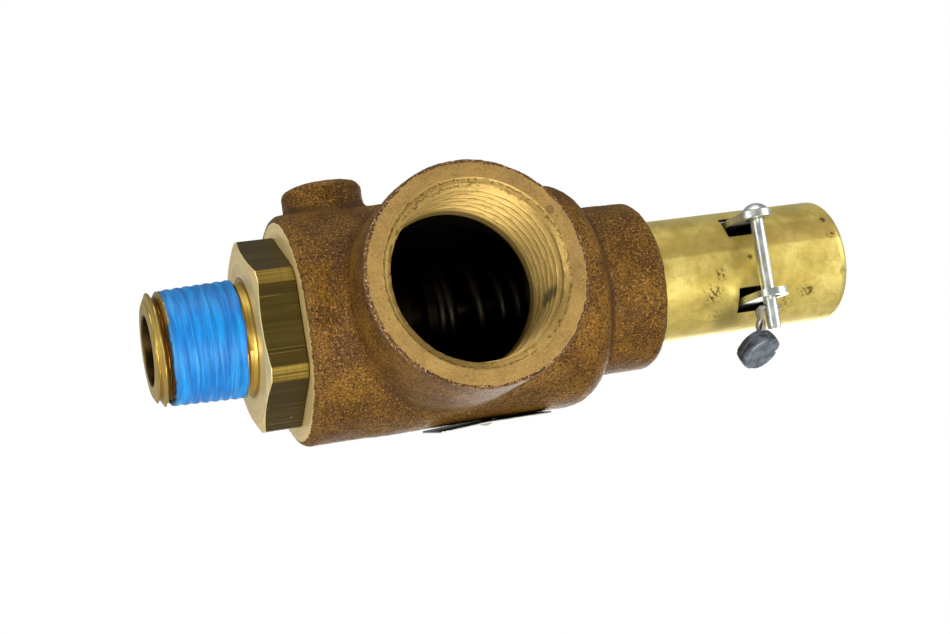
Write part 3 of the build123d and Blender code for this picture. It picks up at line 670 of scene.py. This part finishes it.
def make_casting():
    """The sand-cast body: the CAD shape with a grainy, slightly uneven skin."""
    source = nodes["body_casting"]
    mesh = source.data.copy()
    obj = bpy.data.objects.new("body_skin", mesh)
    bpy.context.scene.collection.objects.link(obj)
    remesh = obj.modifiers.new("skin", "REMESH")
    remesh.mode = "VOXEL"
    remesh.voxel_size = 0.4 * MM
    remesh.adaptivity = 0.0
    graph = bpy.context.evaluated_depsgraph_get()
    made = bpy.data.meshes.new_from_object(obj.evaluated_get(graph))
    obj.modifiers.clear()
    obj.data = made
    count = len(made.vertices)
    co = np.zeros(count * 3)
    made.vertices.foreach_get("co", co)
    co = co.reshape(-1, 3) / MM
    normals = np.zeros(count * 3)
    made.vertices.foreach_get("normal", normals)
    normals = normals.reshape(-1, 3)
    edges = np.zeros(len(made.edges) * 2, np.int64)
    made.edges.foreach_get("vertices", edges)
    edges = edges.reshape(-1, 2)
    degree = np.bincount(edges.ravel(), minlength=count)[:, None]

    def relax(values):
        total = np.zeros_like(values)
        np.add.at(total, edges[:, 0], values[edges[:, 1]])
        np.add.at(total, edges[:, 1], values[edges[:, 0]])
        return total / np.maximum(degree, 1)

    soft = co.copy()
    for _ in range(14):
        soft = 0.5 * soft + 0.5 * relax(soft)
    # how far smoothing moves a point says whether it lies in a hollow or on an edge
    bend = ((soft - co) * normals).sum(1)[:, None]
    for _ in range(3):
        bend = 0.5 * bend + 0.5 * relax(bend)
    bend = bend[:, 0]
    # how concave the skin is, for the painted shade in its hollows
    hollow_shade = smooth(bend, 0.015, 0.09)
    ridge = smooth(-bend, 0.06, 0.2)

    # the inside walls and the machined faces, each with some slack for the voxels
    barrel = np.hypot(co[:, 0], co[:, 1])
    port = np.hypot(co[:, 0], co[:, 2] - OUTLET_HEIGHT)
    height = co[:, 2]
    chamber_radius, chamber_floor, chamber_roof = 17.9, 26.2, 80.9
    neck_radius, passage_radius, face_radius = 12.6, 15.4, 19.3
    chamber = (barrel < chamber_radius) & (height > chamber_floor) & (height < chamber_roof)
    neck = (barrel < neck_radius) & (height > chamber_roof - 0.9)
    passage = (port < passage_radius) & (co[:, 1] < -3)
    seat = (barrel < BODY_SEAT_RADIUS + 0.3) & (height > BODY_BOTTOM + 0.37)
    inside = chamber | neck | passage | seat
    bottom = (height < BODY_BOTTOM + 0.22) & (barrel < BOTTOM_RADIUS - 0.05)
    machined = (co[:, 1] < 0.5 - OUTLET_FACE) & (port < face_radius)
    skin = ~(inside | bottom | machined)
    hand = noise(co, 9.0, 1) * 0.16 + noise(co, 3.2, 2) * 0.07
    sand = noise(co, 0.95, 3) * 0.055 + noise(co, 0.5, 4) * 0.03
    push = np.where(skin, hand + sand, 0)
    # the mould's parting line, and a scrape along one side
    seam = np.exp(-(co[:, 0] / 0.28) ** 2) * 0.1 * (co[:, 1] < 0)
    push += np.where(skin & (height > 60), seam, 0)
    scrape_start = np.array([20.6, -6.7, 48.0])
    scrape_end = np.array([16.4, -14.4, 71.5])
    along = scrape_end - scrape_start
    t = np.clip(((co - scrape_start) @ along) / (along @ along), 0, 1)
    off = np.linalg.norm(co - (scrape_start + np.outer(t, along)), axis=1)
    scrape = np.exp(-(off / 1.3) ** 2) * skin
    push += scrape * (0.22 + 0.25 * noise(co, 1.1, 6))
    co = co + normals * push[:, None]
    # the skin stands back from the bottom face and the port, which are pieces of their own
    co[bottom, 2] = np.maximum(co[bottom, 2], BODY_BOTTOM + 0.32)
    face = (co[:, 1] < 0.9 - OUTLET_FACE) & (port < face_radius + 0.05)
    co[face, 1] = np.maximum(co[face, 1], 0.7 - OUTLET_FACE)
    clear_radius = 17.25
    wall = (co[:, 1] < -18.9) & (port < clear_radius)
    grow = clear_radius / np.maximum(port, 1e-6)
    co[wall, 0] = co[wall, 0] * grow[wall]
    co[wall, 2] = OUTLET_HEIGHT + (co[wall, 2] - OUTLET_HEIGHT) * grow[wall]
    made.vertices.foreach_set("co", (co * MM).ravel())
    ridge = np.clip(ridge + scrape * 0.9, 0, 1)
    set_attribute(made, "hollow_shade", hollow_shade * skin)
    set_attribute(made, "ridge", ridge * skin)
    made.materials.clear()
    for m in (MATERIALS["cast"], MATERIALS["core"]):
        made.materials.append(m)
    # the inside walls take the near-black painted shade of the core material
    index = [int(inside[list(polygon.vertices)].sum() >= 2) for polygon in made.polygons]
    made.polygons.foreach_set("material_index", np.array(index, np.int32))
    made.shade_smooth()
    made.set_sharp_from_angle(angle=radians(50))
    made.update()
    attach(obj, "valve_body")
    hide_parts("body_casting")


def make_port():
    """The machined outlet: flat face, 45 degree chamfer and the tapered pipe thread."""
    face, cut, cast = range(3)
    turn = np.arange(360) * 2 * pi / 360
    rim = circle(turn, 20)
    edge = FACE_RADIUS + 0.1 * noise(rim, 3.0, 8) + 0.14 * noise(rim, 0.8, 9)
    cut_edge = edge - 0.34 + 0.12 * noise(rim, 0.6, 35)
    rows = [(19.0, 2.4), (edge + 0.02, 0.9), (edge + 0.06, 0.3), (edge - 0.12, 0.03), (cut_edge, 0.0)]
    kinds = [cast] * (len(rows) - 1)
    for r in np.linspace(19.0, CHAMFER_RADIUS + 0.05, 8):
        rows.append((r, 0.0))
        kinds.append(face)
    rows.append((CHAMFER_RADIUS, 0.02))
    kinds.append(cut)
    torn = 0.1 * noise(rim, 1.4, 33) + 0.07 * noise(rim, 0.6, 34)
    for d in np.concatenate([np.linspace(0.15, 1.9, 14), np.linspace(2.0, OUTLET_THREAD, 118)]):
        crest = OUTLET_CREST - d * PIPE_TAPER * 0.6
        phase = d / OUTLET_PITCH + turn / (2 * pi)
        fading_out = smooth(OUTLET_THREAD - d, 0.0, 2.0)
        depth = 1.35 * (1 - ridge_profile(phase, 0.22)) * fading_out
        chamfer = CHAMFER_RADIUS - 0.02 - d + torn * smooth(d, 0.5, 1.2)
        rows.append((np.maximum(crest + depth, chamfer), d))
        kinds.append(cut)
    rows += [(14.6, 16.2), (14.62, 17.0), (16.9, 17.0), (16.9, 2.4)]
    kinds += [cut] * (len(rows) - len(kinds))

    def place(p):
        return np.stack([p[:, 0], -OUTLET_FACE + p[:, 2], OUTLET_HEIGHT + p[:, 1]], 1)

    materials = [MATERIALS[n] for n in ("face", "cut", "cast")]
    obj = lathe("outlet_port", rows, turn, materials, kinds, place, sharp=28.0)
    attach(obj, "valve_body")


def make_base():
    """The body's turned bottom face, seen round the hexagon."""
    turn = np.arange(300) * 2 * pi / 300
    rim = circle(turn, 20)
    edge = BOTTOM_RADIUS + 0.1 * noise(rim, 3.0, 31) + 0.07 * noise(rim, 0.8, 32)
    low, high = BODY_BOTTOM, BODY_BOTTOM + 0.77
    rows = [(BODY_SEAT_RADIUS, high), (BODY_SEAT_RADIUS, low), (16.0, low), (19.0, low), (edge, low),
            (edge + 0.14, low + 0.09), (edge + 0.16, high)]
    obj = lathe("bottom_face", rows, turn, [MATERIALS["bottom"]], [0] * len(rows))
    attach(obj, "valve_body")


def make_inlet():
    """The brass inlet: tapered pipe thread, hexagon with turned corners, bore and seat."""
    turned, bar, bore, corner, hex_face = range(5)
    count = 480
    around = np.arange(count) * 2 * pi / count
    turn = radians(HEX_ANGLE) + around
    rows, kinds = [], []

    def add(radius, height, kind=turned):
        rows.append((radius, height))
        kinds.append(kind)

    add(INLET_BORE, 0.25, bore)
    add(INLET_BORE + 0.25, 0.0)
    add(8.45, 0.0)
    for z in np.linspace(0.02, INLET_THREAD, 150):
        crest = INLET_CREST + z * PIPE_TAPER
        phase = z / INLET_PITCH - around / (2 * pi) + 0.5
        depth = 1.3 * (1 - ridge_profile(phase, 0.16))
        end_chamfer = 8.6 + z * 2.0
        add(np.minimum(crest - depth, end_chamfer), z)
    neck_radius = 10.1
    add(neck_radius, INLET_THREAD + 0.2)
    add(neck_radius - 0.05, HEX_BOTTOM - 0.4)
    add(neck_radius, HEX_BOTTOM - 0.05)

    # the hexagon: a flat annulus, corners chamfered by turning, then six flats
    flats = HEX_HALF_FLATS / np.cos(around % (pi / 3) - pi / 6)
    outline = np.minimum(flats, HEX_TURNED)
    chamfer_start, chamfer_slope = 15.6, 0.3
    for radius in (11.2, 13.0, 15.0):
        add(radius, HEX_BOTTOM, hex_face)
    for r in np.linspace(chamfer_start, HEX_TURNED, 16):
        reach = np.minimum(r, outline)
        add(reach, HEX_BOTTOM + (reach - chamfer_start) * chamfer_slope, hex_face)
    from_corner = np.abs((around + pi / 6) % (pi / 3) - pi / 6)
    flat_kind = np.where(from_corner < radians(4.6), corner, bar)
    edge_height = rows[-1][1]
    for z in np.linspace(0.02, 1, 12):
        add(outline, edge_height + (HEX_TOP - 0.23 - edge_height) * z, flat_kind)
    add(outline - 0.2, HEX_TOP)

    # inside the body: shank, shoulder, seat lip, seat bore, then the inlet's bore back to the end
    shank, shoulder, seat_lip, seat_bore = 12.65, 37.5, 43.0, 5.0
    inner = ((shank, HEX_TOP), (shank, shoulder), (9.0, shoulder), (9.0, 42.2), (6.6, 42.2),
             (6.4, seat_lip), (seat_bore + 0.1, seat_lip), (seat_bore, seat_lip - 0.2),
             (seat_bore, 39.0))
    for radius, height in inner:
        add(radius, height)
    add(INLET_BORE, 30.0, bore)
    add(INLET_BORE, 12.0, bore)
    grid = np.array([np.broadcast_to(k, count) for k in kinds])
    names = ("turned", "bar", "bore", "corner", "hex_face")
    obj = lathe("inlet_fitting", rows, turn, [MATERIALS[n] for n in names], grid, sharp=32.0)
    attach(obj, "valve_body")
    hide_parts("inlet_nozzle")


def make_sealant():
    """The blue sealant that fills the inlet's threads, with a ragged first edge."""
    count = 360
    turn = np.arange(count) * 2 * pi / count
    ring = circle(turn, 10)
    ragged = 2.75 + 0.35 * noise(ring, 4.0, 11) + 0.2 * noise(ring, 0.8, 12)
    finish = 16.25 + 0.18 * noise(ring, 3.0, 13)
    buried = 8.9
    rows = [(buried, ragged)]
    for t in np.concatenate([[0.0, 0.004, 0.012], np.linspace(0.025, 0.975, 150), [0.988, 1.0]]):
        z = ragged + (finish - ragged) * t
        points = np.stack([np.cos(turn) * 10.7, np.sin(turn) * 10.7, z], 1)
        crest = INLET_CREST + 0.08 + z * PIPE_TAPER
        phase = z / INLET_PITCH - (turn - radians(HEX_ANGLE)) / (2 * pi) + 0.5
        dip = 0.085 * (1 - np.cos(2 * pi * phase + pi))
        streaks = points * np.array([0.2, 0.2, 1.0])
        r = crest - dip + 0.04 * noise(points, 3.0, 14) + 0.022 * noise(streaks, 0.5, 15)
        lip = np.minimum(smooth(t, -0.004, 0.03), smooth(1.0 - t, -0.004, 0.02))
        rows.append((r - 0.55 * (1 - lip), z))
    rows.append((buried, finish))
    kinds = [0] * len(rows)
    obj = lathe("sealant_coat", rows, turn, [MATERIALS["sealant"]], kinds, sharp=60.0)
    co = points_of(obj)
    set_attribute(obj.data, "thin", 1 - smooth(co[:, 2], 2.4, 4.2))
    around = np.arctan2(co[:, 1], co[:, 0]) % (2 * pi)
    start = np.interp(around, turn, ragged, period=2 * pi)
    # marks the sealant's first edge for its painted shadow line
    set_attribute(obj.data, "lip", 1 - smooth(co[:, 2] - start, 0.08, 0.3))
    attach(obj, "valve_body")
    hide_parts("thread_sealant")


def make_spring():
    """Round-wire spring with ground ends, in two lengths: a lower and an upper part of the coil."""
    low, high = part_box("spring")
    bottom, top = low.z / MM, high.z / MM
    # turns counted from the bottom, and the height of the wire there as its coils open and close
    coils = [0, 0.5, 1.5, 2.5, 3.5, 4.5, 5.5, 6.5, 7]
    heights = [bottom + 0.9, bottom + 1.2, 54.3, 60.4, 64.9, 68.0, 70.6, 73.7, top - 1.0]
    steps = 48
    t = np.linspace(0, 7, 7 * steps + 1)
    z = np.interp(t, coils, heights)
    z = np.convolve(np.pad(z, 12, mode="edge"), np.ones(25) / 25, mode="valid")
    angle = t * 2 * pi + pi / 2
    path = circle(angle, 8.3)
    path[:, 2] = z
    cut = 4 * steps
    middle = path[cut][2]
    lengths = (("coil_spring", path[:cut + 1], "stem_lift", 2.6, middle - bottom),
               ("coil_spring_top", path[cut:], "step_slide", 0.705, top - middle))
    for name, part, joint, travel, length in lengths:
        obj = tube(name, part, radius=1.3, materials=[MATERIALS["spring"]], sides=18)
        for v in obj.data.vertices:
            v.co.z = min(max(v.co.z, low.z), high.z)
        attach(obj, "valve_body")
        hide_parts("spring")
        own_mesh(obj)


def make_wire():
    """Two wires twisted together, through the pin's cross hole, round behind it and into the seal."""
    pin_y, pin_z, tilt = -15.5, 116.1, radians(3)
    hole_x = 10.2
    twist_radius, wire_radius = 0.5, 0.49

    def on_pin(x, y, z):
        """A point measured from the pin's middle, with x along the tilted pin."""
        return (x * cos(tilt) + z * sin(tilt), pin_y + y, pin_z - x * sin(tilt) + z * cos(tilt))

    def strand(x, side):
        """A point of one strand of the twisted pair between the pin and the seal."""
        share = (x - 11.8) / 5.1
        swing = pi * (1 + 1.7 * share)
        out, up = side * twist_radius * cos(swing), side * twist_radius * sin(swing)
        return (x, -15.35 + out, 112.95 - 0.8 * share + up)

    stations = (11.9, 12.9, 13.9, 14.9, 15.9, 16.9)
    down = [strand(x, 1) for x in reversed(stations)]
    loop = [on_pin(hole_x + 0.3, -0.3, -2.45), on_pin(hole_x, 0, -1.3), on_pin(hole_x, 0, 0.6),
            on_pin(hole_x, 0.35, 1.65), on_pin(hole_x, 1.5, 1.8), on_pin(hole_x, 1.9, 0.6),
            on_pin(hole_x, 1.9, -1.0), on_pin(hole_x + 0.4, 1.5, -2.1)]
    back = [strand(x, -1) for x in stations]
    path = spline(down + loop + back, 10)
    obj = tube("wire_loop", path, radius=wire_radius, materials=[MATERIALS["wire"]], sides=14)
    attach(obj, "seal")
    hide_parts("seal_wire")


def make_seal():
    """A lead slug squeezed flat on the wire: flat pressed faces, bulged and nicked edge."""
    facing = Vector((0.826, -0.533, 0.182)).normalized()
    spin = facing.to_track_quat("Z", "Y").to_matrix()
    turn = np.arange(96) * 2 * pi / 96
    rim = circle(turn, 4)
    wobble = 1 + 0.045 * noise(rim, 2.6, 21) + 0.03 * noise(rim, 0.9, 22)
    # nicks in the rim: direction in the row frame, depth as a share of the radius, width in radians
    nicks = (((-0.75, -0.45, 0.2), 0.16, 0.13), ((-0.3, 0.3, 0.9), 0.14, 0.12),
             ((0.5, 0.3, -0.9), 0.07, 0.1), ((0.3, 0.0, -1.0), 0.05, 0.08))
    for direction, depth, width in nicks:
        flat = spin.transposed() @ Vector(direction)
        away = (turn - np.arctan2(flat.y, flat.x) + pi) % (2 * pi) - pi
        wobble -= depth * np.exp(-(away / width) ** 2)
    centre_point = 0.001
    outline = [(centre_point, 1.5), (1.6, 1.51), (3.0, 1.56), (3.5, 1.58), (3.74, 1.48), (3.86, 1.2),
               (3.95, 0.6), (4.0, 0.15), (3.86, 0.0), (3.98, -0.2), (3.95, -0.7), (3.84, -1.25),
               (3.7, -1.5), (3.45, -1.6), (3.0, -1.58), (1.6, -1.52), (centre_point, -1.5)]
    rows = []
    for r, height in outline:
        radius = r * wobble if r > 0.5 else r
        rows.append((radius, height + 0.05 * noise(circle(turn, r), 1.4, 23)))
    centre = np.array([17.9, -15.5, 111.0])
    rotate = np.array(spin)

    def place(p):
        return p @ rotate.T + centre

    obj = lathe("lead_slug", rows, turn, [MATERIALS["lead"]], [0] * len(rows), place, sharp=50.0)
    depth = (points_of(obj) - centre) @ np.array(facing)
    set_attribute(obj.data, "rim", 1 - smooth(depth, 0.9, 1.45))
    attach(obj, "seal")
    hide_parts("lead_seal")


MATERIALS = {
    "cast": cast_bronze(),
    "core": dark_core(),
    "face": face_cut(),
    "cut": thread_cut(),
    "turned": turned_brass(),
    "bar": drawn_bar(),
    "corner": corner_brass(),
    "hex_face": pale_turned("hex_face", 0.38, 0.6),
    "bottom": pale_turned("bottom_face", 0.38, 0.5),
    # near-black brass: painted shade on the parts deep inside the chamber and the cap
    "dull": steel("shaded_inner_brass", rgb(16, 12, 6), rgb(28, 22, 11), 0.4, 0.55),
    "dim_steel": steel("dim_steel", rgb(30, 29, 28), rgb(52, 50, 48), 0.4, 0.55),
    "bore": steel("bore_brass", rgb(60, 46, 22), rgb(92, 72, 36), 0.35, 0.5),
    "cap": cap_brass(),
    "sealant": sealant(),
    "zinc": zinc_steel(),
    "lever": zinc_steel("lever_zinc", True),
    "spring": steel("spring_wire", rgb(30, 26, 22), rgb(54, 47, 40), 0.36, 0.5),
    "wire": steel("iron_wire", rgb(112, 112, 108), rgb(178, 172, 158), 0.4, 0.55),
    "stainless": steel("stainless", rgb(150, 150, 148), rgb(192, 192, 190), 0.25, 0.4),
    "inner_brass": steel("inner_brass", rgb(150, 120, 58), rgb(196, 164, 88), 0.28, 0.42),
    "lead": lead_metal(),
    "plate": plate_metal(),
    "seat": plastic_seat(),
}

# CAD nodes that are shown as they are, and their materials
CAD_LOOKS = {
    # the "dull" look is near-black painted shade for parts deep inside
    "disc_holder": "dull",
    "seat_disc": "seat",
    "seat_washer": "stainless",
    "seat_screw": "stainless",
    "valve_stem": "dim_steel",
    "stem_clip": "dim_steel",
    "lower_spring_step": "dull",
    "upper_spring_step": "dull",
    "compression_screw": "inner_brass",
    "jam_nut": "inner_brass",
    "cap": "cap",
    "lift_nut": "dull",
    "lift_lock_nut": "stainless",
    "lift_lever": "lever",
    "lever_pin": "zinc",
    "nameplate": "plate",
    "nameplate_rivet": "plate",
}

for name, look in CAD_LOOKS.items():
    node = nodes[name]
    node.data.materials.clear()
    node.data.materials.append(MATERIALS[look])

for name, width in (("lift_lever", 0.18), ("cap", 0.08)):
    bevel = nodes[name].modifiers.new("edge", "BEVEL")
    bevel.width = width * MM
    bevel.segments = 2
    bevel.limit_method = "ANGLE"
    bevel.angle_limit = radians(40)

make_casting()
make_port()
make_base()
make_inlet()
make_sealant()
make_spring()
make_wire()
make_seal()

# ---------------------------------------------------------------- floor, light and camera

def make_floor():
    """A pale floor under the standing valve, seen only from above and only by the camera, with a soft
    painted contact shadow round the inlet.
    """
    reach, height = 4000, -0.4
    corners = [(-reach, -reach), (reach, -reach), (reach, reach), (-reach, reach)]
    points = np.array([(x, y, height) for x, y in corners])
    p = Paint("studio_floor")
    p.done((0, 0, 0, 1), 0.9, 0.0, Specular_IOR_Level=0.0)
    radius = p.radius()
    tone = p.mix(p.noise(60, 2, 0.5), (0.73, 0.73, 0.725, 1), (0.75, 0.75, 0.745, 1))
    # painted contact shadow round the valve's foot
    painted_contact_shadow = p.math("POWER", p.fade(radius, 6 * MM, 60 * MM), 2.0)
    tone = p.mix(p.both(painted_contact_shadow, 0.7), tone, (0.34, 0.33, 0.32, 1))
    far = p.span(radius, 250 * MM, 1100 * MM)
    p.link(p.mix(far, tone, (1, 1, 1, 1)), p.bsdf.inputs["Emission Color"])
    p.bsdf.inputs["Emission Strength"].default_value = 1.0
    clear = p.node("ShaderNodeBsdfTransparent")
    choose = p.node("ShaderNodeMixShader")
    p.link(p.node("ShaderNodeNewGeometry").outputs["Backfacing"], choose.inputs[0])
    p.link(p.bsdf.outputs[0], choose.inputs[1])
    p.link(clear.outputs[0], choose.inputs[2])
    output = next(n for n in p.tree.nodes if n.type == "OUTPUT_MATERIAL")
    p.link(choose.outputs[0], output.inputs["Surface"])
    mesh = bpy.data.meshes.new("studio_floor")
    mesh.from_pydata((points * MM).tolist(), [], [(0, 1, 2, 3)])
    mesh.materials.append(p.mat)
    floor = bpy.data.objects.new("studio_floor", mesh)
    bpy.context.scene.collection.objects.link(floor)
    floor.visible_glossy = False
    floor.visible_diffuse = False
    floor.visible_shadow = False
    floor.visible_transmission = False


def area_light(name, place, size, power):
    """A round lamp aimed at the middle of the valve; place and size in metres, power in watts."""
    light = bpy.data.lights.new(name, "AREA")
    light.shape = "DISK"
    light.size = size
    light.energy = power
    obj = bpy.data.objects.new(name, light)
    obj.location = Vector(place)
    middle = Vector((0, -0.01, 0.065))
    obj.rotation_euler = (obj.location - middle).to_track_quat("Z", "Y").to_euler()
    obj.visible_camera = False
    bpy.context.scene.collection.objects.link(obj)


def make_world():
    """White to the camera; for light and reflections a pale room that is darker behind the viewer."""
    world = bpy.data.worlds.new("studio")
    world.use_nodes = True
    bpy.context.scene.world = world
    tree = world.node_tree
    tree.nodes.clear()
    add, link = tree.nodes.new, tree.links.new
    coord = add("ShaderNodeTexCoord")

    def toward(direction, low, high, dark, bright):
        """Goes from dark to bright as a ray's part along direction goes from low to high."""
        dot = add("ShaderNodeVectorMath")
        dot.operation = "DOT_PRODUCT"
        dot.inputs[1].default_value = direction
        link(coord.outputs["Generated"], dot.inputs[0])
        span = add("ShaderNodeMapRange")
        span.interpolation_type = "SMOOTHSTEP"
        for key, value in (("From Min", low), ("From Max", high), ("To Min", dark), ("To Max", bright)):
            span.inputs[key].default_value = value
        link(dot.outputs["Value"], span.inputs["Value"])
        return span.outputs["Result"]

    level = add("ShaderNodeMath")
    level.operation = "MULTIPLY"
    link(toward((0.95, -0.1, -0.2), -0.9, 0.9, 0.32, 0.75), level.inputs[0])
    link(toward((0.15, -0.94, -0.31), 0.5, 0.95, 1.0, 0.3), level.inputs[1])
    room, seen = add("ShaderNodeBackground"), add("ShaderNodeBackground")
    for background in (room, seen):
        background.inputs["Color"].default_value = (1, 1, 1, 1)
        background.inputs["Strength"].default_value = 1.0
    link(level.outputs[0], room.inputs["Strength"])
    choose = add("ShaderNodeMixShader")
    link(add("ShaderNodeLightPath").outputs["Is Camera Ray"], choose.inputs[0])
    link(room.outputs[0], choose.inputs[1])
    link(seen.outputs[0], choose.inputs[2])
    link(choose.outputs[0], add("ShaderNodeOutputWorld").inputs["Surface"])


def make_camera(place, aim, roll, lens):
    """A camera at place that looks at aim, both in mm, turned by roll about its line of sight."""
    data = bpy.data.cameras.new("camera")
    data.sensor_width = 36.0
    data.lens = lens
    data.clip_start = 0.01
    data.clip_end = 20.0
    camera = bpy.data.objects.new("camera", data)
    place, aim = Vector(place) * MM, Vector(aim) * MM
    facing = (place - aim).to_track_quat("Z", "Y") @ Quaternion((0, 0, 1), roll)
    camera.location = place
    camera.rotation_euler = facing.to_euler()
    bpy.context.scene.collection.objects.link(camera)
    bpy.context.scene.camera = camera


make_floor()
make_world()
area_light("front_low", (0.28, -0.42, 0.02), 0.35, 3.0)
area_light("top", (-0.5, -0.2, 0.05), 0.4, 1.5)
area_light("left", (-0.02, -0.22, -0.45), 0.35, 1.65)
area_light("right", (-0.1, -0.25, 0.5), 0.35, 1.0)
area_light("back", (0.1, 0.8, 0.5), 0.6, 6.0)

make_camera(place=(52.58, -310.41, -39.98), aim=(4.98, -18.79, 55.75), roll=radians(82.226),
            lens=65.87)
bpy.context.scene.view_settings.view_transform = "Standard"
bpy.context.scene.view_settings.look = "None"

bpy.context.view_layer.update()
